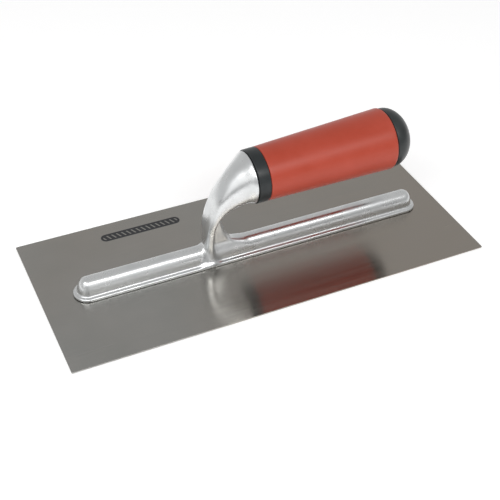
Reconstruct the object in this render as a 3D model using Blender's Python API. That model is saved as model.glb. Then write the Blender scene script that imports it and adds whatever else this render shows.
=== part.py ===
"""Finishing trowel: a steel blade riveted under a cast aluminium mounting, whose swan
neck carries a two-colour handle held by a through rod.  Metres, +Z up, +X along the
blade towards the free end of the handle, origin under the middle of the blade."""
import math

import bmesh
import bpy
from mathutils import Matrix, Vector

# ---- driving dimensions (metres) ----------------------------------------------------
GAP = 0.0003                     # clearance between pieces that touch

BLADE_LENGTH = 0.280
BLADE_WIDTH = 0.120
BLADE_THICK = 0.0008

BAR_LENGTH = 0.243               # flat foot of the casting, a stadium in plan
BAR_WIDTH = 0.0186
BAR_CENTRE_X = 0.0015
BAR_BOTTOM = BLADE_THICK + GAP
BAR_TOP = 0.0030
BAR_EDGE = 0.0009                # rounding of the foot's upper edge

RIDGE_INSET = 0.0025             # from the edge of the foot to the root of the ridge
RIDGE_TOP = 0.0129
RIDGE_SQUARENESS = 2.7           # exponent of the ridge's superelliptic section

RIVET_COUNT = 9
RIVET_PITCH = 0.027
RIVET_HEAD_R = 0.0030
RIVET_NECK_R = 0.0019
RIVET_R = 0.0017
RIVET_TOP = 0.0085

AXIS_HEIGHT = 0.0582             # height of the handle's axis above x = 0
AXIS_TILT = math.radians(2.11)   # the handle rises towards its free end

# distances along the handle's axis, from x = 0
COLLAR_FRONT = -0.0036
COLLAR_REAR = 0.0040
SLEEVE_REAR = 0.0920
CAP_TIP = 0.1080
HANDLE_R = 0.01715               # outside radius at x = 0
HANDLE_TAPER = 0.0331            # growth of the radius per metre of axis
CAP_R = 0.0194

CORE_WALL_GAP = 0.0033           # from the sleeve's outside to the core's
COLLAR_BORE = 0.0134
SPIGOT_R = 0.0080
SPIGOT_END = 0.0080
ROD_R = 0.0040
ROD_FRONT = -0.0150
ROD_REAR = 0.0905
SEAT = 0.0800                    # floor of the core's rear recess, where the washer sits
RECESS_R = 0.0096
SOCKET = 0.0876                  # floor of the wider socket that takes the cap's plug
PLUG_R = 0.0122
PLUG_BORE = 0.0099
WASHER_THICK = 0.0016
WASHER_R = 0.0085
NUT_THICK = 0.0065
NUT_FLATS = 0.0130

ROUND_SEGMENTS = 64              # facets round the handle
SMALL_SEGMENTS = 24              # facets round rivets, rod and small bores
SHARP = math.radians(32)         # edges sharper than this stay crisp

# Neck: front point (x, z), back point (x, z), half width at the front and at the back,
# and squareness of the front half and of the back half of each section, from the rim at
# the collar down to the foot on the bar.
RIM_FACE = COLLAR_FRONT - GAP
RIM_R = 0.0169
NECK_SECTIONS = [
    ((-0.0068, 0.0734), (-0.0052, 0.0425), 0.0163, 0.0159, 2.0, 2.3),
    ((-0.0106, 0.0703), (-0.0082, 0.0443), 0.0139, 0.0136, 2.1, 2.9),
    ((-0.0155, 0.0661), (-0.0122, 0.0440), 0.0114, 0.0120, 2.1, 3.4),
    ((-0.0215, 0.0594), (-0.0166, 0.0422), 0.0096, 0.0108, 2.1, 3.6),
    ((-0.0263, 0.0516), (-0.0208, 0.0396), 0.0086, 0.0098, 2.2, 3.7),
    ((-0.0298, 0.0436), (-0.0242, 0.0364), 0.0080, 0.0090, 2.3, 3.8),
    ((-0.0322, 0.0358), (-0.0268, 0.0322), 0.0077, 0.0085, 2.4, 3.8),
    ((-0.0335, 0.0280), (-0.0282, 0.0275), 0.0071, 0.0077, 2.4, 3.8),
    ((-0.0338, 0.0200), (-0.0288, 0.0200), 0.0067, 0.0072, 2.4, 3.8),
    ((-0.0340, 0.0140), (-0.0288, 0.0140), 0.0065, 0.0069, 2.4, 3.6),
    ((-0.0349, 0.0090), (-0.0282, 0.0090), 0.0070, 0.0073, 2.4, 3.4),
    ((-0.0360, 0.0050), (-0.0274, 0.0050), 0.0078, 0.0079, 2.4, 3.0),
    ((-0.0365, 0.0022), (-0.0268, 0.0022), 0.0081, 0.0081, 2.3, 2.8),
]
NECK_STEPS = 3                   # sections blended in between each two above
NECK_SEGMENTS = 40

# Rib behind the neck, in the plane y = 0: its hollow rear edge from neck to ridge.
RIB_EDGE = [(-0.0250, 0.0395), (-0.0232, 0.0345), (-0.0216, 0.0288), (-0.0200, 0.0230),
            (-0.0180, 0.0185), (-0.0150, 0.0150), (-0.0110, 0.0131), (-0.0060, 0.0118)]
RIB_FRONT_X = -0.0295
RIB_FOOT = 0.0060
RIB_HALF = 0.0026

FINISHES = {                     # colour, metallic, roughness
    "blade_steel": ((0.23, 0.23, 0.21), 1.0, 0.38),
    "cast_aluminium": ((0.62, 0.63, 0.63), 1.0, 0.28),
    "zinc_steel": ((0.45, 0.46, 0.47), 1.0, 0.35),
    "red_rubber": ((0.46, 0.062, 0.036), 0.0, 0.55),
    "black_plastic": ((0.022, 0.026, 0.028), 0.0, 0.42),
}


# ---- helpers ------------------------------------------------------------------------
def clear_scene():
    for thing in list(bpy.data.objects):
        bpy.data.objects.remove(thing, do_unlink=True)


def material(name):
    """The Principled material of that name, made once."""
    made = bpy.data.materials.get(name)
    if made:
        return made
    colour, metallic, roughness = FINISHES[name]
    made = bpy.data.materials.new(name)
    made.use_nodes = True
    shader = made.node_tree.nodes["Principled BSDF"]
    shader.inputs["Base Color"].default_value = (*colour, 1.0)
    shader.inputs["Metallic"].default_value = metallic
    shader.inputs["Roughness"].default_value = roughness
    return made


def add_object(name, bm, finish, parent=None, smooth=True):
    """Turn a bmesh into an object with outward faces, smooth but for its crisp edges."""
    bmesh.ops.remove_doubles(bm, verts=bm.verts, dist=1e-7)
    bmesh.ops.recalc_face_normals(bm, faces=bm.faces)
    mesh = bpy.data.meshes.new(name)
    for face in bm.faces:
        face.smooth = smooth
    for edge in bm.edges:
        edge.smooth = edge.calc_face_angle(0.0) < SHARP
    bm.to_mesh(mesh)
    bm.free()
    made = bpy.data.objects.new(name, mesh)
    mesh.materials.append(material(finish))
    bpy.context.collection.objects.link(made)
    made.parent = parent
    return made


def bridge(bm, lower, upper):
    """Join two rings of the same number of vertices with quads."""
    count = len(lower)
    for i in range(count):
        j = (i + 1) % count
        bm.faces.new((lower[i], lower[j], upper[j], upper[i]))


def loft(rings):
    """Closed body through a list of rings of points, capped at both ends."""
    bm = bmesh.new()
    loops = [[bm.verts.new(point) for point in ring] for ring in rings]
    for lower, upper in zip(loops, loops[1:]):
        bridge(bm, lower, upper)
    bm.faces.new(loops[0])
    bm.faces.new(loops[-1])
    return bm


def turned(profile, segments):
    """Closed body of revolution about Z from a profile of (distance along Z, radius).
    The profile closes on itself, or starts and ends on the axis."""
    bm = bmesh.new()
    verts = [bm.verts.new((radius, 0.0, along)) for along, radius in profile]
    edges = [bm.edges.new(pair) for pair in zip(verts, verts[1:])]
    if profile[0][1] > 0.0:
        edges.append(bm.edges.new((verts[-1], verts[0])))
    bmesh.ops.spin(bm, geom=verts + edges, cent=(0, 0, 0), axis=(0, 0, 1),
                   angle=2 * math.pi, steps=segments, use_merge=True)
    return bm


def arc(centre, radii, start, end, steps):
    """Points (along, radius) of an elliptic arc, angles in degrees from the axis."""
    points = []
    for i in range(steps + 1):
        turn = math.radians(start + (end - start) * i / steps)
        points.append((centre[0] + radii[0] * math.cos(turn),
                       centre[1] + radii[1] * math.sin(turn)))
    return points


def stadium(length, width, height, centre_x, end_steps=12):
    """Ring of points of a stadium in plan: straight sides and half-round ends."""
    half = width / 2
    ring = []
    for side in (1, -1):
        for i in range(end_steps + 1):
            turn = math.pi * (i / end_steps - 0.5)
            x = side * (length / 2 - half + half * math.cos(turn))
            ring.append((centre_x + x, side * half * math.sin(turn), height))
    return ring


def boolean(target, operation, tools):
    """Join the tools to the target, or cut them from it; the tools themselves stay hidden."""
    for tool in tools:
        step = target.modifiers.new(tool.name, "BOOLEAN")
        step.operation = operation
        step.object = tool
        tool.hide_render = True
        tool.display_type = "WIRE"


def smooth_path(points, steps):
    """Catmull-Rom points through a list of tuples, with steps intervals between two."""
    rows = [Vector(point) for point in points]
    rows = [2 * rows[0] - rows[1]] + rows + [2 * rows[-1] - rows[-2]]
    path = []
    for a, b, c, d in zip(rows, rows[1:], rows[2:], rows[3:]):
        for i in range(steps):
            t = i / steps
            path.append(0.5 * (2 * b + (c - a) * t + (2 * a - 5 * b + 4 * c - d) * t ** 2
                               + (3 * b - a - 3 * c + d) * t ** 3))
    return path + [rows[-2]]


# ---- pieces -------------------------------------------------------------------------
def rivet_places():
    middle = (RIVET_COUNT - 1) / 2
    return [BAR_CENTRE_X + (i - middle) * RIVET_PITCH for i in range(RIVET_COUNT)]


def make_blade():
    half_x, half_y = BLADE_LENGTH / 2, BLADE_WIDTH / 2
    outline = [(-half_x, -half_y), (half_x, -half_y), (half_x, half_y), (-half_x, half_y)]
    rings = [[(x, y, z) for x, y in outline] for z in (0.0, BLADE_THICK)]
    blade = add_object("blade", loft(rings), "blade_steel", smooth=False)
    cutters = []
    for index, x in enumerate(rivet_places()):
        slope = (RIVET_HEAD_R - RIVET_NECK_R) / BLADE_THICK
        profile = [(-GAP, 0.0), (-GAP, RIVET_HEAD_R + GAP * (1 + slope)),
                   (BLADE_THICK + GAP, RIVET_NECK_R + GAP * (1 - slope)),
                   (BLADE_THICK + GAP, 0.0)]
        cutter = add_object(f"cut_blade_{index + 1}", turned(profile, SMALL_SEGMENTS),
                            "blade_steel")
        cutter.location.x = x
        cutters.append(cutter)
    boolean(blade, "DIFFERENCE", cutters)
    return blade


def make_rivets():
    profile = [(0.0, 0.0), (0.0, RIVET_HEAD_R), (BLADE_THICK, RIVET_NECK_R),
               (BLADE_THICK + GAP, RIVET_R), (RIVET_TOP - 0.0004, RIVET_R),
               (RIVET_TOP, RIVET_R - 0.0004), (RIVET_TOP, 0.0)]
    for index, x in enumerate(rivet_places()):
        rivet = add_object(f"rivet_{index + 1}", turned(profile, SMALL_SEGMENTS),
                           "zinc_steel")
        rivet.location.x = x


def bar_foot():
    rings = [stadium(BAR_LENGTH, BAR_WIDTH, BAR_BOTTOM, BAR_CENTRE_X)]
    for i in range(4):
        turn = math.pi / 2 * i / 3
        inset = BAR_EDGE * (1 - math.cos(turn))
        height = BAR_TOP - BAR_EDGE * (1 - math.sin(turn))
        rings.append(stadium(BAR_LENGTH - 2 * inset, BAR_WIDTH - 2 * inset, height,
                             BAR_CENTRE_X))
    return loft(rings)


def ridge():
    """Domed ridge along the foot, the same section carried round its two ends."""
    length = BAR_LENGTH - 2 * RIDGE_INSET
    width = BAR_WIDTH - 2 * RIDGE_INSET
    rings = [stadium(length, width, BAR_TOP - 0.0005, BAR_CENTRE_X)]
    levels, top_turn = 9, math.radians(88)
    for i in range(levels):
        turn = top_turn * i / (levels - 1)
        narrow = 1 - math.cos(turn) ** (2 / RIDGE_SQUARENESS)
        height = BAR_TOP + (RIDGE_TOP - BAR_TOP) * math.sin(turn) ** (2 / RIDGE_SQUARENESS)
        rings.append(stadium(length - width * narrow, width * (1 - narrow), height,
                             BAR_CENTRE_X))
    return loft(rings)


def neck():
    """Swan neck: sections from the round rim down to the foot, wide and thin low down."""
    along = Vector((math.cos(AXIS_TILT), math.sin(AXIS_TILT)))
    across = Vector((-along.y, along.x))
    centre = Vector((0.0, AXIS_HEIGHT)) + RIM_FACE * along
    rim = (centre + RIM_R * across, centre - RIM_R * across)
    rows = [(*rim[0], *rim[1], RIM_R, RIM_R, 2.0, 2.0)]
    for front, back, *shape in NECK_SECTIONS:
        rows.append((*front, *back, *shape))
    rings = []
    for row in smooth_path(rows, NECK_STEPS):
        front, back = Vector(row[0:2]), Vector(row[2:4])
        front_half, back_half, front_square, back_square = row[4:8]
        ring = []
        for i in range(NECK_SEGMENTS):
            turn = 2 * math.pi * i / NECK_SEGMENTS
            deep, wide = math.cos(turn), math.sin(turn)
            squareness = front_square if deep > 0 else back_square
            depth = (1 - math.copysign(abs(deep) ** (2 / squareness), deep)) / 2
            half = front_half + (back_half - front_half) * depth
            x, z = front.lerp(back, depth)
            ring.append((x, math.copysign(half * abs(wide) ** (2 / squareness), wide), z))
        rings.append(ring)
    return loft(rings)


def rib():
    """Upright rib that carries the back of the neck down to the ridge in a hollow."""
    outline = [(RIB_FRONT_X, RIB_FOOT), (RIB_FRONT_X, RIB_EDGE[0][1])]
    outline += [tuple(point) for point in smooth_path(RIB_EDGE, 2)]
    outline.append((RIB_EDGE[-1][0], RIB_FOOT))
    return loft([[(x, y, z) for x, z in outline] for y in (-RIB_HALF, RIB_HALF)])


def make_casting(axis):
    casting = add_object("mounting_casting", bar_foot(), "cast_aluminium")
    spigot = [(RIM_FACE - 0.004, 0.0), (RIM_FACE - 0.004, SPIGOT_R), (SPIGOT_END - 0.001, SPIGOT_R),
              (SPIGOT_END, SPIGOT_R - 0.001), (SPIGOT_END, 0.0)]
    joined = [add_object("join_ridge", ridge(), "cast_aluminium"),
              add_object("join_neck", neck(), "cast_aluminium"),
              add_object("join_rib", rib(), "cast_aluminium"),
              add_object("join_spigot", turned(spigot, SMALL_SEGMENTS), "cast_aluminium", axis)]
    boolean(casting, "UNION", joined)
    bore = [(ROD_FRONT - GAP, 0.0), (ROD_FRONT - GAP, ROD_R + GAP),
            (SPIGOT_END + 0.002, ROD_R + GAP), (SPIGOT_END + 0.002, 0.0)]
    cuts = [add_object("cut_rod", turned(bore, SMALL_SEGMENTS), "cast_aluminium", axis)]
    hole = [(0.0, 0.0), (0.0, RIVET_R + GAP), (RIVET_TOP + GAP, RIVET_R + GAP),
            (RIVET_TOP + GAP, 0.0)]
    for index, x in enumerate(rivet_places()):
        cutter = add_object(f"cut_bar_{index + 1}", turned(hole, SMALL_SEGMENTS), "cast_aluminium")
        cutter.location.x = x
        cuts.append(cutter)
    boolean(casting, "DIFFERENCE", cuts)
    return casting


def outside_radius(along):
    """Outside radius of the handle at a distance along its axis."""
    return HANDLE_R + HANDLE_TAPER * along


def make_collar(axis):
    edge = 0.0006
    front_r, rear_r = outside_radius(COLLAR_FRONT) + 0.0002, outside_radius(COLLAR_REAR)
    profile = [(COLLAR_FRONT, COLLAR_BORE), (COLLAR_FRONT, front_r - edge)]
    profile += arc((COLLAR_FRONT + edge, front_r - edge), (edge, edge), 180, 90, 3)[1:]
    profile += [(COLLAR_REAR, rear_r), (COLLAR_REAR, COLLAR_BORE)]
    return add_object("front_collar", turned(profile, ROUND_SEGMENTS), "black_plastic", axis)


def make_sleeve(axis):
    front, rear = COLLAR_REAR + GAP, SLEEVE_REAR
    lip, edge = 0.0004, 0.0016
    front_r, rear_r = outside_radius(front), outside_radius(rear)
    wall = CORE_WALL_GAP - GAP
    profile = [(front, front_r - wall), (front, front_r - lip), (front + lip, front_r)]
    profile += arc((rear - edge, rear_r - edge), (edge, edge), 90, 0, 4)
    profile += [(rear, rear_r - wall)]
    return add_object("grip_sleeve", turned(profile, ROUND_SEGMENTS), "red_rubber", axis)


def make_core(axis):
    """Moulded core: nose inside the collar, body inside the sleeve, stepped bore."""
    body, rear = COLLAR_REAR + GAP, SLEEVE_REAR
    nose_r = COLLAR_BORE - GAP
    body_r = outside_radius(body) - CORE_WALL_GAP
    rear_r = outside_radius(rear) - CORE_WALL_GAP
    socket_end = SPIGOT_END + GAP
    profile = [(COLLAR_FRONT, SPIGOT_R + GAP), (COLLAR_FRONT, nose_r), (body, nose_r),
               (body, body_r), (rear, rear_r), (rear, PLUG_R + GAP),
               (SOCKET, PLUG_R + GAP), (SOCKET, RECESS_R), (SEAT, RECESS_R),
               (SEAT, ROD_R + GAP), (socket_end, ROD_R + GAP), (socket_end, SPIGOT_R + GAP)]
    return add_object("handle_core", turned(profile, ROUND_SEGMENTS), "black_plastic", axis)


def make_cap(axis):
    """Domed cap whose hollow plug presses into the rear of the core."""
    base = SLEEVE_REAR + GAP
    shoulder = base + 0.0016
    hollow = base + 0.0045
    edge = 0.0005
    profile = [(hollow, 0.0), (hollow, PLUG_BORE), (SOCKET + GAP, PLUG_BORE),
               (SOCKET + GAP, PLUG_R), (base, PLUG_R), (base, CAP_R - edge),
               (base + edge, CAP_R)]
    profile += arc((shoulder, 0.0), (CAP_TIP - shoulder, CAP_R), 90, 0, 14)
    profile[-1] = (CAP_TIP, 0.0)
    return add_object("end_cap", turned(profile, ROUND_SEGMENTS), "black_plastic", axis)


def make_fixings(axis):
    """Rod from the casting to the rear recess, with its washer and hexagon nut."""
    point = 0.0008
    rod = [(ROD_FRONT, 0.0), (ROD_FRONT, ROD_R - point), (ROD_FRONT + point, ROD_R),
           (ROD_REAR - point, ROD_R), (ROD_REAR, ROD_R - point), (ROD_REAR, 0.0)]
    add_object("tang_rod", turned(rod, SMALL_SEGMENTS), "zinc_steel", axis)
    start = SEAT + GAP
    washer = [(start, ROD_R + GAP), (start, WASHER_R), (start + WASHER_THICK, WASHER_R),
              (start + WASHER_THICK, ROD_R + GAP)]
    add_object("handle_washer", turned(washer, SMALL_SEGMENTS), "zinc_steel", axis)
    start += WASHER_THICK + GAP
    corner_r = NUT_FLATS / 2 / math.cos(math.pi / 6)
    nut = [(start, ROD_R + GAP), (start, corner_r), (start + NUT_THICK, corner_r),
           (start + NUT_THICK, ROD_R + GAP)]
    add_object("handle_nut", hexagon_nut(nut), "zinc_steel", axis)


def hexagon_nut(profile):
    """Six-sided outside on a round bore: rings of the bore and of the hexagon."""
    bm = bmesh.new()
    rings = []
    for along, radius in profile:
        hexagonal = radius > ROD_R + GAP
        ring = []
        for i in range(SMALL_SEGMENTS):
            turn = 2 * math.pi * i / SMALL_SEGMENTS
            reach = radius
            if hexagonal:
                off_flat = (turn + math.pi / 6) % (math.pi / 3) - math.pi / 6
                reach = NUT_FLATS / 2 / math.cos(off_flat)
            ring.append(bm.verts.new((reach * math.cos(turn), reach * math.sin(turn), along)))
        rings.append(ring)
    for lower, upper in zip(rings, rings[1:] + rings[:1]):
        bridge(bm, lower, upper)
    return bm


def main():
    clear_scene()
    axis = bpy.data.objects.new("handle_axis", None)
    bpy.context.collection.objects.link(axis)
    axis.matrix_world = (Matrix.Translation((0.0, 0.0, AXIS_HEIGHT))
                         @ Matrix.Rotation(math.pi / 2 - AXIS_TILT, 4, "Y"))
    make_blade()
    make_rivets()
    make_casting(axis)
    make_collar(axis)
    make_core(axis)
    make_sleeve(axis)
    make_cap(axis)
    make_fixings(axis)


main()
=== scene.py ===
"""Looks of the finishing trowel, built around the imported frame.  Metres, +Z up, +X along
the blade towards the free end of the handle, origin under the middle of the blade."""

import math

import bmesh
import bpy
import numpy as np
from mathutils import Matrix, Vector


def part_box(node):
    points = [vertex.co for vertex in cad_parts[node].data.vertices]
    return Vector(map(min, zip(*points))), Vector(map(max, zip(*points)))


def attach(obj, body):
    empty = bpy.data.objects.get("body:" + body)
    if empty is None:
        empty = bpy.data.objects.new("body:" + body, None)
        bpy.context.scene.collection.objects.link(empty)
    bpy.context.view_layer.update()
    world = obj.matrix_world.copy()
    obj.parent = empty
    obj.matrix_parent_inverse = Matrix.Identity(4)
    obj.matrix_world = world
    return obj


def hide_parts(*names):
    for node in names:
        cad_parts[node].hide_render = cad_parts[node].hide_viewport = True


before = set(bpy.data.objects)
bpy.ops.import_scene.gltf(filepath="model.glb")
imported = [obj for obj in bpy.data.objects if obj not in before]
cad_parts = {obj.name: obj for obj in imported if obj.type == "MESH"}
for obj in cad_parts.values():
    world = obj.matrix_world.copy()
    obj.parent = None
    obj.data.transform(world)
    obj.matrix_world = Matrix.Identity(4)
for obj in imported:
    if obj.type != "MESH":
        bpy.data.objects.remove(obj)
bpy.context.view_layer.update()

MM = 0.001
GAP = 0.3 * MM                   # clearance that the CAD keeps between touching pieces

# ---- sizes, read from the frame ------------------------------------------------------
blade_low, blade_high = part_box("blade")
bar_low, bar_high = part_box("mounting_casting")
rivet_boxes = [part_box(name) for name in sorted(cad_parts) if name.startswith("rivet_")]
rivet_xs = [(low.x + high.x) / 2 for low, high in rivet_boxes]
rivet_top = rivet_boxes[0][1].z
rivet_head_r = (rivet_boxes[0][1].x - rivet_boxes[0][0].x) / 2

# ---- sizes that no box gives: the handle's and the rivets', as in the CAD --------------
AXIS_HEIGHT = 58.2 * MM          # handle's axis above x = 0
AXIS_TILT = math.radians(2.11)
HANDLE_R = 17.15 * MM            # outside radius at x = 0
HANDLE_TAPER = 0.0331
COLLAR_FRONT = -3.6 * MM         # distances along the axis
COLLAR_REAR = 4.0 * MM
SLEEVE_REAR = 92.0 * MM
CAP_TIP = 108.0 * MM
CAP_R = 19.4 * MM
COLLAR_BORE = 13.4 * MM
SPIGOT_R = 8.0 * MM
SPIGOT_END = 8.0 * MM
ROD_R = 4.0 * MM
ROD_FRONT = -15.0 * MM
SLEEVE_WALL = 3.0 * MM
SOCKET = 87.6 * MM
PLUG_R = 12.2 * MM
PLUG_BORE = 9.9 * MM
RIVET_R = 1.7 * MM
RIVET_NECK_R = 1.9 * MM

# ---- the casting: as in the CAD, but with sloping sides, a spreading rib and a neck that
# differs by 1 mm or so, and by about 2 mm at its foot -----------------------------------
BAR_WIDTH = 18.6 * MM
BAR_TOP = 3.0 * MM
BAR_EDGE = 0.9 * MM
BAR_DRAFT = 0.13                 # how much its sides lean in, per unit of height
RIDGE_INSET = 2.5 * MM
RIDGE_TOP = 12.9 * MM
RIDGE_SQUARENESS = 2.7
RIDGE_DRAFT = 0.12               # how much each side leans in, per unit of height

RIM_FACE = COLLAR_FRONT - GAP
RIM_R = 16.9 * MM
# Neck sections: front x, z; back x, z; half width at front and back (mm); squareness of
# the front half and of the back half, which is flatter with tighter corners.
NECK_SECTIONS = [
    (-6.8, 73.4, -5.2, 42.5, 16.0, 16.4, 2.0, 2.3),
    (-10.6, 70.3, -8.2, 44.3, 13.2, 14.6, 2.0, 2.9),
    (-15.5, 66.1, -12.2, 44.0, 10.8, 12.9, 2.0, 3.4),
    (-21.5, 59.4, -16.6, 42.2, 9.3, 11.2, 2.1, 3.6),
    (-26.3, 51.6, -20.8, 39.6, 8.6, 9.8, 2.2, 3.7),
    (-29.8, 43.6, -24.2, 36.4, 8.0, 9.0, 2.2, 3.8),
    (-32.2, 35.8, -26.8, 32.2, 7.6, 8.4, 2.2, 3.8),
    (-33.5, 28.0, -28.2, 27.5, 7.1, 7.7, 2.3, 3.8),
    (-33.8, 20.0, -28.8, 20.0, 6.7, 7.2, 2.3, 3.8),
    (-34.0, 14.0, -28.8, 14.0, 6.5, 6.9, 2.4, 3.6),
    (-34.9, 9.0, -28.2, 9.0, 7.0, 7.2, 2.6, 3.4),
    (-36.4, 6.0, -27.4, 6.0, 7.9, 8.0, 2.8, 3.2),
    (-38.2, 4.0, -26.6, 4.0, 9.3, 9.3, 2.8, 3.0),
    (-38.8, 2.2, -26.0, 2.2, 9.6, 9.6, 2.8, 2.8),
]
# Hollow rear edge of the rib behind the neck, x and z in mm, from the neck to the ridge.
RIB_EDGE = [(-25.0, 39.5), (-23.2, 34.5), (-21.6, 28.8), (-20.0, 23.0), (-18.0, 18.5),
            (-15.0, 15.0), (-11.5, 12.8), (-7.5, 10.5), (-4.5, 7.0)]
RIB_FRONT = [(-29.5, 4.0), (-28.0, 39.5)]
RIB_HALF = 2.6 * MM
RIB_FOOT_HALF = 3.4 * MM         # the rib spreads towards the ridge
RIB_SPREAD_TOP = 26.0 * MM

# Widths over which surfaces of the casting flow into each other.
BLEND_RIDGE = 1.6 * MM
BLEND_NECK = 4.0 * MM
BLEND_RIB = 3.0 * MM
RIM_EDGE = 1.2 * MM
RIB_CORNER = 2.5 * MM

# The neck and the rib are worked out only between these places; FAR stands for them elsewhere.
NECK_REGION = (-48 * MM, 18 * MM)
FAR = 20 * MM

# How the field is meshed.
CASTING_CELL = 0.5 * MM
RELAX_PASSES = 2
SLOPE_STEP = 0.03 * MM           # distance over which the field's slope is measured
LONGEST_MOVE = 0.5 * MM          # of a point in one step towards the surface
LEAST_SLOPE = 0.5

ROUND_SEGMENTS = 144
FLOOR_GLOW = 0.24                # the floor is a faintly lit white sweep
SHARP = math.radians(32)         # edges sharper than this stay crisp

# Plain printed bar on the blade, far side, left of the neck.
PRINT_CENTRE = (-59.5 * MM, 46 * MM)
PRINT_LENGTH = 55 * MM
PRINT_HALF = 3.6 * MM
PRINT_PITCH = 3.4 * MM

# ---- camera: the photograph's viewpoint ------------------------------------------------
CAMERA_PLACE = (-0.2214, -0.4436, 0.4148)
CAMERA_AZIMUTH = math.radians(-26.43)
CAMERA_ELEVATION = math.radians(40.04)
CAMERA_ROLL = math.radians(1.96)
CAMERA_LENS = 71.3               # mm on a 36 mm sensor

# ---- lights: name, direction, distance, width and height in metres, radiance -----------
LIGHTS = [
    ("key", (0.245, -0.71, 0.66), 1.25, 0.54, 0.27, 4.3),
    ("left_high", (-0.57, -0.38, 0.72), 1.3, 0.85, 0.36, 4.0),
    ("left_front", (-0.81, -0.46, 0.36), 1.3, 0.6, 0.5, 0.7),
    ("front_low", (0.06, -0.90, 0.30), 0.95, 0.34, 0.40, 0.45),
    ("front_high", (-0.156, -0.677, 0.719), 1.3, 0.66, 0.32, 3.4),
]


# ---- mesh helpers ----------------------------------------------------------------------
def add_piece(name, mesh, finish, slot, *nodes):
    """Put a mesh in the scene as a piece that stands for the CAD nodes."""
    piece = bpy.data.objects.new(name, mesh)
    bpy.context.scene.collection.objects.link(piece)
    mesh.materials.clear()
    mesh.materials.append(finish)
    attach(piece, "root")
    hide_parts(*nodes)


def mesh_of(bm, name):
    """Mesh with outward faces, smooth but for its crisp edges."""
    bmesh.ops.recalc_face_normals(bm, faces=bm.faces)
    for face in bm.faces:
        face.smooth = True
    for edge in bm.edges:
        edge.smooth = edge.calc_face_angle(0.0) < SHARP
    mesh = bpy.data.meshes.new(name)
    bm.to_mesh(mesh)
    bm.free()
    return mesh


def smooth_path(points, steps):
    """Catmull-Rom points through the rows of a table, with steps intervals between two."""
    rows = np.array(points, float)
    rows = np.vstack([2 * rows[0] - rows[1], rows, 2 * rows[-1] - rows[-2]])
    path = []
    for a, b, c, d in zip(rows, rows[1:], rows[2:], rows[3:]):
        for i in range(steps):
            t = i / steps
            path.append(0.5 * (2 * b + (c - a) * t + (2 * a - 5 * b + 4 * c - d) * t ** 2
                               + (3 * b - a - 3 * c + d) * t ** 3))
    return np.array(path + [rows[-2]])


AXIS = Matrix.Translation((0, 0, AXIS_HEIGHT)) @ Matrix.Rotation(math.pi / 2 - AXIS_TILT, 4, "Y")


def turned(name, profile, place=AXIS, segments=ROUND_SEGMENTS):
    """Mesh of revolution from (distance along the axis, radius) points."""
    bm = bmesh.new()
    verts = [bm.verts.new((radius, 0.0, along)) for along, radius in profile]
    edges = [bm.edges.new(pair) for pair in zip(verts, verts[1:])]
    if profile[0][1] > 0.0:
        edges.append(bm.edges.new((verts[-1], verts[0])))
    bmesh.ops.spin(bm, geom=verts + edges, cent=(0, 0, 0), axis=(0, 0, 1),
                   angle=2 * math.pi, steps=segments, use_merge=True)
    bmesh.ops.remove_doubles(bm, verts=bm.verts, dist=1e-7)
    bmesh.ops.transform(bm, matrix=place, verts=bm.verts)
    return mesh_of(bm, name)


def round_corner(centre, radius, start, end, steps=6):
    """Points (along, radius) on an arc, angles in degrees from the axis."""
    turns = np.radians(np.linspace(start, end, steps + 1))
    return [(centre[0] + radius * math.cos(t), centre[1] + radius * math.sin(t)) for t in turns]


# ---- the casting: one smooth field, meshed as a quad net -------------------------------
def soft_min(a, b, width):
    """Union of two fields whose surfaces flow into each other over a width."""
    overlap = np.maximum(width - np.abs(a - b), 0.0) / width
    return np.minimum(a, b) - overlap ** 2 * width / 4


def soft_max(a, b, width):
    """Part shared by two fields, with a rounded edge between them."""
    return -soft_min(-a, -b, width)


def radial(across, up, half_across, half_up, squareness):
    """Nearly the distance to a superellipse, measured along the ray from its centre."""
    scaled = ((np.abs(across) / half_across) ** squareness
              + (np.abs(up) / half_up) ** squareness) ** (1 / squareness)
    scaled = np.maximum(scaled, 1e-3)
    return np.hypot(across, up) * (1 - 1 / scaled)


def polygon_distance(x, z, outline):
    """Signed distance to a closed outline, negative inside."""
    nearest = np.full(x.shape, np.inf)
    inside = np.zeros(x.shape, bool)
    for (ax, az), (bx, bz) in zip(outline, np.roll(outline, -1, axis=0)):
        share = ((x - ax) * (bx - ax) + (z - az) * (bz - az)) / ((bx - ax) ** 2 + (bz - az) ** 2)
        share = np.clip(share, 0, 1)
        gap = np.hypot(x - ax - share * (bx - ax), z - az - share * (bz - az))
        nearest = np.minimum(nearest, gap)
        crosses = (az > z) != (bz > z)
        if bz != az:
            inside ^= crosses & (x < ax + (z - az) / (bz - az) * (bx - ax))
    return np.where(inside, -nearest, nearest)


def neck_rows():
    """Dense table of neck sections in metres, from the rim to the foot."""
    along = Vector((math.cos(AXIS_TILT), math.sin(AXIS_TILT)))
    across = Vector((-along.y, along.x))
    centre = Vector((0.0, AXIS_HEIGHT)) + RIM_FACE * along
    front, back = centre + RIM_R * across, centre - RIM_R * across
    rim = (*front, *back, RIM_R, RIM_R, 2.0, 2.0)
    rows = [rim] + [(*(value * MM for value in row[:6]), *row[6:]) for row in NECK_SECTIONS]
    inner = [a + a - b for a, b in zip(rim, rows[1])]
    inner[4:] = rim[4:]
    return smooth_path([inner] + rows, 12)


NECK = neck_rows()


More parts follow.
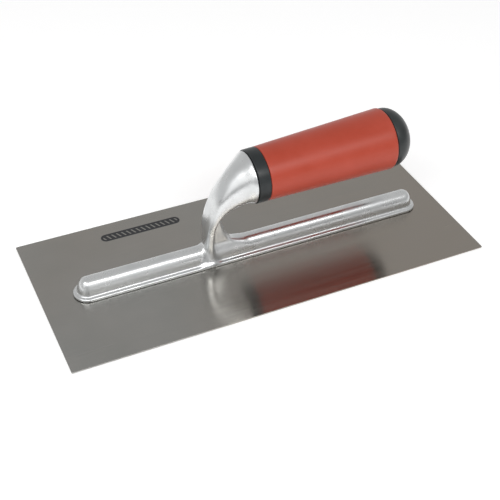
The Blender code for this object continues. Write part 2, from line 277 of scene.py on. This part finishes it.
def neck_field(x, y, z):
    """Distance to the neck: find the section whose plane holds the point, then measure
    in that plane."""
    front, back = NECK[:, 0:2], NECK[:, 2:4]
    run = back - front
    best = np.full(x.shape, np.inf)
    place = np.zeros(x.shape)
    side_before = None
    for i in range(len(NECK)):
        side = run[i, 0] * (z - front[i, 1]) - run[i, 1] * (x - front[i, 0])
        side = side / np.hypot(*run[i])
        if side_before is not None:
            found = (side_before <= 0) & (side > 0)
            share = np.where(found, side_before / np.where(found, side_before - side, 1), 0)
            middle = (front[i] + back[i]) / 2
            away = np.hypot(x - middle[0], z - middle[1])
            better = found & (away < best)
            best = np.where(better, away, best)
            place = np.where(better, i - 1 + share, place)
        side_before = side
    low = np.minimum(place.astype(int), len(NECK) - 2)
    share = (place - low)[..., None]
    row = NECK[low] * (1 - share) + NECK[low + 1] * share
    run = row[..., 2:4] - row[..., 0:2]
    length = np.hypot(run[..., 0], run[..., 1])
    depth = ((x - row[..., 0]) * run[..., 0] + (z - row[..., 1]) * run[..., 1]) / length ** 2
    half = row[..., 4] + (row[..., 5] - row[..., 4]) * np.clip(depth, 0, 1)
    squareness = np.where(depth > 0.5, row[..., 7], row[..., 6])
    field = radial(y, (depth - 0.5) * length, half, length / 2, squareness)
    return np.where(np.isfinite(best), field, FAR)


def bar_field(x, y, z):
    """Signed distance, nearly, to the bar's foot with the ridge on it."""
    reach = (bar_high.x - bar_low.x - BAR_WIDTH) / 2
    centre_x = (bar_high.x + bar_low.x) / 2
    rho = np.hypot(np.maximum(np.abs(x - centre_x) - reach, 0), y)
    side = rho - BAR_WIDTH / 2 + BAR_EDGE + BAR_DRAFT * (z - bar_low.z)
    top = z - BAR_TOP + BAR_EDGE
    foot = (np.hypot(np.maximum(side, 0), np.maximum(top, 0)) - BAR_EDGE
            + np.minimum(np.maximum(side, top), 0))
    height = np.maximum(z - BAR_TOP, 0)
    half = BAR_WIDTH / 2 - RIDGE_INSET - RIDGE_DRAFT * np.minimum(height, RIDGE_TOP)
    ridge = radial(rho, height, half, RIDGE_TOP - BAR_TOP, RIDGE_SQUARENESS)
    return soft_min(foot, ridge, BLEND_RIDGE)


def rib_field(x, y, z):
    """Signed distance, nearly, to the rib behind the neck."""
    edge = smooth_path(RIB_EDGE, 4) * MM
    outline = np.vstack([np.array(RIB_FRONT) * MM, edge, [edge[-1, 0], RIB_FRONT[0][1] * MM]])
    low_down = np.clip((RIB_SPREAD_TOP - z) / (RIB_SPREAD_TOP - RIDGE_TOP), 0, 1)
    half = RIB_HALF + (RIB_FOOT_HALF - RIB_HALF) * low_down ** 2 * (3 - 2 * low_down)
    return soft_max(polygon_distance(x, z, outline), np.abs(y) - half, RIB_CORNER)


def casting_field(x, y, z):
    """Signed distance, nearly, to the whole casting."""
    along = x * math.cos(AXIS_TILT) + (z - AXIS_HEIGHT) * math.sin(AXIS_TILT)
    off_axis = np.hypot(y, (z - AXIS_HEIGHT) * math.cos(AXIS_TILT) - x * math.sin(AXIS_TILT))
    near_neck = (x > NECK_REGION[0]) & (x < NECK_REGION[1])
    neck, rib = np.full(x.shape, FAR), np.full(x.shape, FAR)
    nearby = x[near_neck], y[near_neck], z[near_neck]
    neck[near_neck], rib[near_neck] = neck_field(*nearby), rib_field(*nearby)
    neck = soft_max(neck, along - RIM_FACE, RIM_EDGE)
    body = soft_min(bar_field(x, y, z), soft_min(neck, rib, BLEND_RIB), BLEND_NECK)

    spigot = np.maximum(off_axis - SPIGOT_R, np.maximum(along - SPIGOT_END, RIM_FACE - MM - along))
    body = np.minimum(body, spigot)
    body = np.maximum(body, bar_low.z - z)
    bore = np.maximum(off_axis - ROD_R - GAP, ROD_FRONT - GAP - along)
    body = np.maximum(body, -bore)
    for rivet_x in rivet_xs:
        hole = np.maximum(np.hypot(x - rivet_x, y) - RIVET_R - GAP, z - rivet_top - GAP)
        body = np.maximum(body, -hole)
    return body


def inside_grid(field, axes, coarse=4):
    """True where the field is negative.  Only the points near its surface are worked out
    one by one; the others take the sign of the nearest point of a coarse grid."""
    value = field(*np.meshgrid(*(axis[::coarse] for axis in axes), indexing="ij"))
    for k, axis in enumerate(axes):
        value = np.repeat(value, coarse, axis=k).take(range(len(axis)), axis=k)
    reach = 2.2 * coarse * (axes[0][1] - axes[0][0])
    inside = value < 0
    i, j, k = np.nonzero(np.abs(value) < reach)
    inside[i, j, k] = field(axes[0][i], axes[1][j], axes[2][k]) < 0
    return inside


def surface_net(field, low, high, cell):
    """Quads round the surface where the field is zero: one vertex in each crossed cell."""
    axes = [np.arange(a - 1.5 * cell, b + 2.5 * cell, cell) for a, b in zip(low, high)]
    inside = inside_grid(field, axes)
    count = np.zeros([n - 1 for n in inside.shape], np.int8)
    for i, j, k in np.ndindex(2, 2, 2):
        count += inside[i:i + count.shape[0], j:j + count.shape[1], k:k + count.shape[2]]
    crossed = (count > 0) & (count < 8)
    index = np.full(crossed.shape, -1)
    index[crossed] = np.arange(crossed.sum())
    origin = np.array([axis[0] for axis in axes])
    points = origin + (np.argwhere(crossed) + 0.5) * cell
    quads = []
    for a in range(3):
        b, c = (a + 1) % 3, (a + 2) % 3
        ahead = np.roll(inside, -1, axis=a)
        spots = np.argwhere(inside != ahead)
        spots = spots[(spots[:, a] < inside.shape[a] - 1)]
        ring = []
        for step_b, step_c in ((-1, -1), (0, -1), (0, 0), (-1, 0)):
            cells = spots.copy()
            cells[:, b] += step_b
            cells[:, c] += step_c
            ring.append(index[tuple(cells.T)])
        quad = np.stack(ring, axis=1)
        outward = inside[tuple(spots.T)]
        quads.append(np.where(outward[:, None], quad, quad[:, ::-1]))
    return points, np.vstack(quads)


def slope_at(field, points):
    """Value of the field and its gradient at each point."""
    value = field(*points.T)
    slopes = [(field(*(points + shift).T) - value) / SLOPE_STEP
              for shift in np.eye(3) * SLOPE_STEP]
    return value, np.stack(slopes, axis=1)


def to_surface(field, points):
    """One Newton step of each point on to the field's zero surface."""
    value, slope = slope_at(field, points)
    size = np.maximum((slope ** 2).sum(axis=1), LEAST_SLOPE ** 2)
    move = np.clip(-value / size, -LONGEST_MOVE, LONGEST_MOVE)
    return points + move[:, None] * slope


def relax(points, quads):
    """Move each point halfway to the mean of its neighbours."""
    total, number = np.zeros_like(points), np.zeros(len(points))
    for i in range(4):
        here, there = quads[:, i], quads[:, (i + 1) % 4]
        for a, b in ((here, there), (there, here)):
            for k in range(3):
                total[:, k] += np.bincount(a, points[b, k], len(points))
            number += np.bincount(a, minlength=len(points))
    return 0.5 * points + 0.5 * total / number[:, None]


def make_casting(finish):
    """Mesh of the field, with normals taken from the field's own slope."""
    low, high = np.array(bar_low), np.array(bar_high)
    points, quads = surface_net(casting_field, low, high, CASTING_CELL)
    for _ in range(RELAX_PASSES):
        points = relax(to_surface(casting_field, points), quads)
    points = to_surface(casting_field, points)
    mesh = bpy.data.meshes.new("casting_body")
    mesh.from_pydata(points.tolist(), [], quads.tolist())
    mesh.polygons.foreach_set("use_smooth", [True] * len(quads))
    mesh.update()
    slope = slope_at(casting_field, points)[1]
    lengths = np.maximum(np.linalg.norm(slope, axis=1, keepdims=True), 1e-6)
    mesh.normals_split_custom_set_from_vertices((slope / lengths).tolist())
    add_piece("casting_body", mesh, finish, "cast_aluminium", "mounting_casting")


def outside_radius(along):
    """Radius of the collar and the sleeve, which widen towards the free end."""
    return HANDLE_R + HANDLE_TAPER * along


def make_blade(finish):
    """Thin sheet with eased edges, and a countersunk hole for each rivet."""
    ease, inset, r = 0.12 * MM, 0.10 * MM, 0.8 * MM      # r rounds the sheet's corners
    low, high = blade_low, blade_high
    thick = high.z - low.z

    def outer(z, back):
        """Outline of the sheet at a height, moved in by a distance."""
        x0, x1, y0, y1 = low.x + back, high.x - back, low.y + back, high.y - back
        ring = []
        for cx, cy, start in ((x1 - r, y1 - r, 0), (x0 + r, y1 - r, 90), (x0 + r, y0 + r, 180),
                              (x1 - r, y0 + r, 270)):
            for turn in np.radians(np.linspace(start, start + 90, 7)):
                ring.append((cx + r * math.cos(turn), cy + r * math.sin(turn), z))
        return ring

    bm = bmesh.new()

    def loop(points):
        """Closed ring of new vertices and edges."""
        verts = [bm.verts.new(point) for point in points]
        edges = [bm.edges.new((a, b)) for a, b in zip(verts, verts[1:] + verts[:1])]
        return verts, edges

    def wall(rings):
        """Quads from each ring to the next."""
        for (lower, _), (upper, _) in zip(rings, rings[1:]):
            for i in range(len(lower)):
                j = (i + 1) % len(lower)
                bm.faces.new((lower[i], lower[j], upper[j], upper[i]))

    rim = [loop(outer(low.z, inset)), loop(outer(low.z + ease, 0)),
           loop(outer(high.z - ease, 0)), loop(outer(high.z, inset))]
    wall(rim)
    bottom, top = list(rim[0][1]), list(rim[-1][1])
    turns = np.radians(np.linspace(0, 360, 49)[:-1])
    for x in rivet_xs:
        slope = (rivet_head_r - RIVET_NECK_R) / thick
        radii = (rivet_head_r + GAP, RIVET_NECK_R + GAP * (1 - slope / 2))
        hole = [loop([(x + r * math.cos(t), r * math.sin(t), z) for t in turns])
                for r, z in zip(radii, (low.z, high.z))]
        wall(hole)
        bottom += hole[0][1]
        top += hole[1][1]
    for edges in (bottom, top):
        bmesh.ops.triangle_fill(bm, use_beauty=True, edges=edges)
    mesh = mesh_of(bm, "blade_sheet")
    along = mesh.uv_layers.new(name="grind")
    points = np.array([mesh.vertices[loop.vertex_index].co.to_tuple() for loop in mesh.loops])
    along.data.foreach_set("uv", points[:, :2].ravel())
    add_piece("blade_sheet", mesh, finish, "blade_steel", "blade")


def make_rivets(finish):
    """Countersunk heads flush under the blade, shanks up into the bar."""
    thick = blade_high.z
    profile = [(0.0, 0.0), (0.02 * MM, rivet_head_r - 0.15 * MM), (0.1 * MM, rivet_head_r),
               (thick, RIVET_NECK_R), (thick + GAP, RIVET_R), (rivet_top - 0.4 * MM, RIVET_R),
               (rivet_top, RIVET_R - 0.4 * MM), (rivet_top, 0.0)]
    for i, x in enumerate(rivet_xs):
        mesh = turned(f"rivet_head_{i + 1}", profile, Matrix.Translation((x, 0, 0)), 48)
        add_piece(f"rivet_head_{i + 1}", mesh, finish, "rivet_steel", f"rivet_{i + 1}")


def make_collar(finish):
    edge = 0.6 * MM
    front_r, rear_r = outside_radius(COLLAR_FRONT) + 0.2 * MM, outside_radius(COLLAR_REAR)
    profile = [(COLLAR_FRONT, COLLAR_BORE)]
    profile += round_corner((COLLAR_FRONT + edge, front_r - edge), edge, 180, 90)
    profile += round_corner((COLLAR_REAR - 0.3 * MM, rear_r - 0.3 * MM), 0.3 * MM, 90, 0)
    profile += [(COLLAR_REAR, COLLAR_BORE)]
    mesh = turned("collar_ring", profile)
    add_piece("collar_ring", mesh, finish, "collar_plastic", "front_collar")


def make_sleeve(finish):
    front, rear = COLLAR_REAR + GAP, SLEEVE_REAR
    lip, edge = 0.4 * MM, 1.6 * MM
    front_r, rear_r = outside_radius(front), outside_radius(rear)
    profile = [(front, front_r - SLEEVE_WALL)]
    profile += round_corner((front + lip, front_r - lip), lip, 180, 90)
    lengths = np.linspace(front + lip, rear - edge, 24)[1:-1]
    profile += [(along, outside_radius(along)) for along in lengths]
    profile += round_corner((rear - edge, rear_r - edge), edge, 90, 0, 10)
    profile += [(rear, rear_r - SLEEVE_WALL)]
    mesh = turned("soft_grip", profile)
    add_piece("soft_grip", mesh, finish, "grip_rubber", "grip_sleeve")


def make_cap(finish):
    """Dome with a hollow plug that reaches into the core."""
    base = SLEEVE_REAR + GAP
    shoulder, hollow, edge = base + 1.6 * MM, base + 4.5 * MM, 0.5 * MM
    profile = [(hollow, 0.0), (hollow, PLUG_BORE), (SOCKET + GAP, PLUG_BORE),
               (SOCKET + GAP, PLUG_R), (base, PLUG_R)]
    profile += round_corner((base + edge, CAP_R - edge), edge, 180, 90)
    for turn in np.radians(np.linspace(90, 0, 40)):
        profile.append((shoulder + (CAP_TIP - shoulder) * math.cos(turn), CAP_R * math.sin(turn)))
    profile[-1] = (CAP_TIP, 0.0)
    mesh = turned("cap_dome", profile)
    add_piece("cap_dome", mesh, finish, "cap_plastic", "end_cap")


# ---- finishes --------------------------------------------------------------------------
class Finish:
    """A node material under construction, with short ways to add what the finishes use."""

    def __init__(self, name, colour, **constants):
        self.material = bpy.data.materials.new(name)
        self.material.use_nodes = True
        self.tree = self.material.node_tree
        self.shader = self.tree.nodes["Principled BSDF"]
        self.set("Base Color", (*colour, 1.0))
        for socket, value in constants.items():
            self.set(socket.replace("_", " "), value)
        self.place = self.add("ShaderNodeTexCoord").outputs["Object"]
        self.normal = None

    def add(self, kind, **inputs):
        node = self.tree.nodes.new(kind)
        for name, value in inputs.items():
            self.feed(node.inputs[name.replace("_", " ")], value)
        return node

    def feed(self, socket, value):
        if isinstance(value, bpy.types.NodeSocket):
            self.tree.links.new(value, socket)
        else:
            socket.default_value = value

    def set(self, socket, value):
        self.feed(self.shader.inputs[socket], value)

    def stretched(self, *scales):
        """Object coordinates, in metres, times a scale for each axis."""
        return self.add("ShaderNodeMapping", Vector=self.place, Scale=scales).outputs[0]

    def noise(self, vector, scale, detail=2.0, roughness=0.5):
        node = self.add("ShaderNodeTexNoise", Vector=vector, Scale=scale, Detail=detail,
                        Roughness=roughness)
        return node.outputs["Fac"]

    def spread(self, value, low, high, start=0.3, end=0.7):
        """Map a texture's value from start..end to low..high."""
        node = self.add("ShaderNodeMapRange")
        for i, number in enumerate((value, start, end, low, high)):
            self.feed(node.inputs[i], number)
        return node.outputs[0]

    def blend(self, factor, a, b):
        node = self.add("ShaderNodeMix")
        node.data_type = "RGBA"
        self.feed(node.inputs[0], factor)
        self.feed(node.inputs[6], (*a, 1.0) if isinstance(a, tuple) else a)
        self.feed(node.inputs[7], (*b, 1.0) if isinstance(b, tuple) else b)
        return node.outputs[2]

    def math(self, operation, a, b=0.0, c=0.0):
        node = self.add("ShaderNodeMath")
        node.operation = operation
        for i, value in enumerate((a, b, c)):
            self.feed(node.inputs[i], value)
        return node.outputs[0]

    def bump(self, height, depth, strength=1.0):
        """Add relief of a real depth, in metres."""
        node = self.add("ShaderNodeBump", Height=height, Distance=depth, Strength=strength)
        if self.normal is not None:
            self.feed(node.inputs["Normal"], self.normal)
        self.normal = node.outputs[0]
        self.set("Normal", self.normal)


def printed_bar(finish):
    """Mask of a plain printed bar on the blade: rounded ends, slanted clear strokes."""
    place = finish.add("ShaderNodeSeparateXYZ", Vector=finish.place).outputs
    x = finish.math("SUBTRACT", place[0], PRINT_CENTRE[0])
    y = finish.math("SUBTRACT", place[1], PRINT_CENTRE[1])
    past = finish.math("SUBTRACT", finish.math("ABSOLUTE", x), PRINT_LENGTH / 2 - PRINT_HALF)
    past = finish.math("MAXIMUM", past, 0.0)
    reach = finish.math("SQRT", finish.math("ADD", finish.math("MULTIPLY", past, past),
                                            finish.math("MULTIPLY", y, y)))
    solid = finish.spread(reach, 1.0, 0.0, PRINT_HALF - 0.1 * MM, PRINT_HALF + 0.1 * MM)
    slant = finish.math("ADD", finish.math("MULTIPLY", x, 1 / PRINT_PITCH),
                        finish.math("MULTIPLY", y, 0.5 / PRINT_PITCH))
    stroke = finish.math("ABSOLUTE", finish.math("SUBTRACT", finish.math("FRACT", slant), 0.5))
    stroke = finish.spread(stroke, 1.0, 0.0, 0.10, 0.16)
    band = finish.spread(reach, 1.0, 0.0, PRINT_HALF * 0.5, PRINT_HALF * 0.56)
    clear = finish.math("MULTIPLY", stroke, band)
    on_top = finish.math("GREATER_THAN", place[2], blade_high.z / 2)
    ink = finish.math("MULTIPLY", solid, finish.math("SUBTRACT", 1.0, clear))
    return finish.math("MULTIPLY", ink, on_top)


def ground_steel():
    finish = Finish("ground_steel", (0.46, 0.455, 0.43), Metallic=1.0, Anisotropic=0.72,
                    Anisotropic_Rotation=0.25)
    tangent = finish.add("ShaderNodeTangent")
    tangent.direction_type, tangent.uv_map = "UV_MAP", "grind"
    finish.set("Tangent", tangent.outputs[0])
    # Grinding marks run along the blade, so the noise is stretched along x.
    scratches = finish.noise(finish.stretched(9, 1600, 1), 1.0, 3.0, 0.6)
    bands = finish.noise(finish.stretched(3, 120, 1), 1.0, 2.0)
    mottle = finish.noise(finish.place, 22.0, 4.0, 0.6)
    cloud = finish.noise(finish.place, 9.0, 1.0)
    colour = finish.blend(finish.spread(mottle, 0.0, 1.0), (0.36, 0.36, 0.34), (0.415, 0.405, 0.385))
    # Painted reflection: the blade's colour is tinted darker and warmer towards +x, standing in for
    # the red handle's reflection; the cloud noise adds a random tone on top.
    along = finish.add("ShaderNodeSeparateXYZ", Vector=finish.place).outputs[0]
    cloud_and_painted_reflection = finish.math("ADD", finish.spread(cloud, -0.2, 0.4),
                       finish.spread(along, 0.1, 0.8, blade_low.x / 2, blade_high.x / 2))
    cloudy_with_painted_reflection = finish.blend(cloud_and_painted_reflection, colour, (0.375, 0.335, 0.29))
    streaked = finish.blend(finish.spread(scratches, 0.0, 0.35), cloudy_with_painted_reflection, (0.31, 0.31, 0.30))
    ink = printed_bar(finish)
    finish.set("Base Color", finish.blend(ink, streaked, (0.018, 0.02, 0.022)))
    finish.set("Metallic", finish.spread(ink, 1.0, 0.0, 0.0, 1.0))
    rough = finish.math("ADD", finish.spread(scratches, 0.165, 0.25),
                        finish.spread(bands, -0.02, 0.03))
    finish.set("Roughness", rough)
    finish.bump(scratches, 0.004 * MM)
    return finish.material


def polished_casting():
    finish = Finish("polished_casting", (0.88, 0.885, 0.885), Metallic=1.0)
    waves = finish.noise(finish.place, 70.0, 1.0)
    dull = finish.noise(finish.place, 90.0, 3.0)
    grain = finish.noise(finish.place, 900.0, 2.0)
    pits = finish.add("ShaderNodeTexVoronoi", Vector=finish.place, Scale=160.0).outputs["Distance"]
    finish.set("Base Color", finish.blend(finish.spread(dull, 0.0, 1.0),
                                          (0.77, 0.78, 0.78), (0.68, 0.695, 0.70)))
    finish.set("Roughness", finish.spread(dull, 0.22, 0.36))
    finish.bump(waves, 0.09 * MM)
    finish.bump(grain, 0.0005 * MM)
    finish.bump(finish.spread(pits, 0.0, 1.0, 0.01, 0.03), 0.03 * MM, 0.3)
    return finish.material


def soft_rubber():
    finish = Finish("soft_rubber", (0.40, 0.042, 0.016), Sheen_Weight=0.04,
                    Sheen_Roughness=0.5, Specular_IOR_Level=0.52)
    wear = finish.noise(finish.place, 60.0, 4.0, 0.6)
    grain = finish.noise(finish.place, 2400.0, 2.0, 0.6)
    finish.set("Base Color", finish.blend(finish.spread(wear, 0.0, 1.0),
                                          (0.40, 0.041, 0.014), (0.44, 0.053, 0.025)))
    finish.set("Roughness", finish.spread(wear, 0.36, 0.46))
    finish.bump(grain, 0.02 * MM, 0.7)
    return finish.material


def moulded_plastic(name, colour, shine):
    finish = Finish(name, colour)
    wear = finish.noise(finish.place, 120.0, 3.0)
    grain = finish.noise(finish.place, 1800.0, 2.0)
    lighter = tuple(channel * 1.5 + 0.004 for channel in colour)
    finish.set("Base Color", finish.blend(finish.spread(wear, 0.0, 1.0), colour, lighter))
    finish.set("Roughness", finish.spread(wear, shine - 0.05, shine + 0.07))
    finish.bump(grain, 0.012 * MM, 0.6)
    return finish.material


def plain_steel(name, colour, low_rough, high_rough):
    finish = Finish(name, colour, Metallic=1.0)
    grain = finish.noise(finish.place, 900.0, 3.0, 0.6)
    darker = tuple(channel * 0.8 for channel in colour)
    finish.set("Base Color", finish.blend(finish.spread(grain, 0.0, 1.0), colour, darker))
    finish.set("Roughness", finish.spread(grain, low_rough, high_rough))
    finish.bump(grain, 0.006 * MM)
    return finish.material


def pale_floor():
    finish = Finish("pale_floor", (0.96, 0.96, 0.96), Roughness=0.9)
    cloud = finish.noise(finish.place, 3.0, 2.0)
    finish.set("Base Color", finish.blend(cloud, (0.97, 0.97, 0.97), (0.95, 0.95, 0.95)))
    finish.set("Emission Color", (1.0, 1.0, 1.0, 1.0))
    finish.set("Emission Strength", FLOOR_GLOW)
    return finish.material


# ---- stage -----------------------------------------------------------------------------
def make_floor(finish):
    half, drop = 6.0, 0.2 * MM
    mesh = bpy.data.meshes.new("studio_floor")
    corners = [(-half, -half, -drop), (half, -half, -drop), (half, half, -drop),
               (-half, half, -drop)]
    mesh.from_pydata(corners, [], [(0, 1, 2, 3)])
    mesh.materials.append(finish)
    floor = bpy.data.objects.new("studio_floor", mesh)
    bpy.context.scene.collection.objects.link(floor)


def softbox(name, towards, distance, width, height, radiance):
    """Area light of a given brightness in a direction from the object, facing it."""
    lamp = bpy.data.lights.new(name, "AREA")
    lamp.shape, lamp.size, lamp.size_y = "RECTANGLE", width, height
    lamp.energy = radiance * math.pi * width * height
    light = bpy.data.objects.new(name, lamp)
    bpy.context.scene.collection.objects.link(light)
    towards = Vector(towards).normalized()
    light.location = towards * distance
    light.rotation_euler = towards.to_track_quat("Z", "Y").to_euler()


def make_world():
    """Grey room, even overhead; near the horizon it is paler behind and dark in front."""
    world = bpy.data.worlds.new("studio")
    bpy.context.scene.world = world
    world.use_nodes = True
    tree = world.node_tree
    place = tree.nodes.new("ShaderNodeTexCoord").outputs["Generated"]
    split = tree.nodes.new("ShaderNodeSeparateXYZ")
    tree.links.new(place, split.inputs[0])

    def ramp(source, *stops):
        node = tree.nodes.new("ShaderNodeValToRGB")
        tree.links.new(source, node.inputs[0])
        while len(node.color_ramp.elements) < len(stops):
            node.color_ramp.elements.new(0.5)
        for element, (where, level) in zip(node.color_ramp.elements, stops):
            element.position, element.color = where, (level, level, level, 1.0)
        return node.outputs[0]

    turned_y = tree.nodes.new("ShaderNodeMapRange")
    tree.links.new(split.outputs[1], turned_y.inputs[0])
    turned_y.inputs[1].default_value = -1.0
    behind = ramp(split.outputs[2], (0.0, 0.66), (0.35, 0.64), (0.6, 0.56), (1.0, 0.57))
    front = ramp(split.outputs[2], (0.05, 0.14), (0.3, 0.52), (0.6, 0.58), (1.0, 0.57))
    mix = tree.nodes.new("ShaderNodeMix")
    mix.data_type = "RGBA"
    tree.links.new(ramp(turned_y.outputs[0], (0.35, 0.0), (0.65, 1.0)), mix.inputs[0])
    tree.links.new(front, mix.inputs[6])
    tree.links.new(behind, mix.inputs[7])
    tree.links.new(mix.outputs[2], tree.nodes["Background"].inputs[0])


def make_camera():
    azimuth, elevation, roll = CAMERA_AZIMUTH, CAMERA_ELEVATION, CAMERA_ROLL
    back = Vector((math.sin(azimuth) * math.cos(elevation),
                   -math.cos(azimuth) * math.cos(elevation), math.sin(elevation)))
    right = Vector((0, 0, 1)).cross(back).normalized()
    up = back.cross(right)
    turned_right = right * math.cos(roll) + up * math.sin(roll)
    turned_up = up * math.cos(roll) - right * math.sin(roll)
    data = bpy.data.cameras.new("camera")
    data.sensor_width, data.lens = 36.0, CAMERA_LENS
    data.clip_start, data.clip_end = 0.01, 50.0
    camera = bpy.data.objects.new("camera", data)
    bpy.context.scene.collection.objects.link(camera)
    axes = Matrix((turned_right, turned_up, back)).transposed().to_4x4()
    camera.matrix_world = Matrix.Translation(CAMERA_PLACE) @ axes
    bpy.context.scene.camera = camera


# ---- build -----------------------------------------------------------------------------
make_casting(polished_casting())
make_blade(ground_steel())
make_rivets(plain_steel("ground_rivet", (0.50, 0.50, 0.485), 0.28, 0.40))
make_collar(moulded_plastic("collar_black", (0.007, 0.010, 0.011), 0.38))
make_cap(moulded_plastic("cap_black", (0.012, 0.015, 0.015), 0.34))
make_sleeve(soft_rubber())
zinc = plain_steel("zinc_plate", (0.66, 0.67, 0.68), 0.25, 0.42)
core_black = moulded_plastic("core_black", (0.03, 0.03, 0.032), 0.5)
for node, finish in (("handle_core", core_black), ("tang_rod", zinc), ("handle_washer", zinc),
                     ("handle_nut", zinc)):
    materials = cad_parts[node].data.materials
    materials.clear()
    materials.append(finish)

make_floor(pale_floor())
make_world()
for light in LIGHTS:
    softbox(*light)
make_camera()
bpy.context.scene.view_settings.view_transform = "Standard"
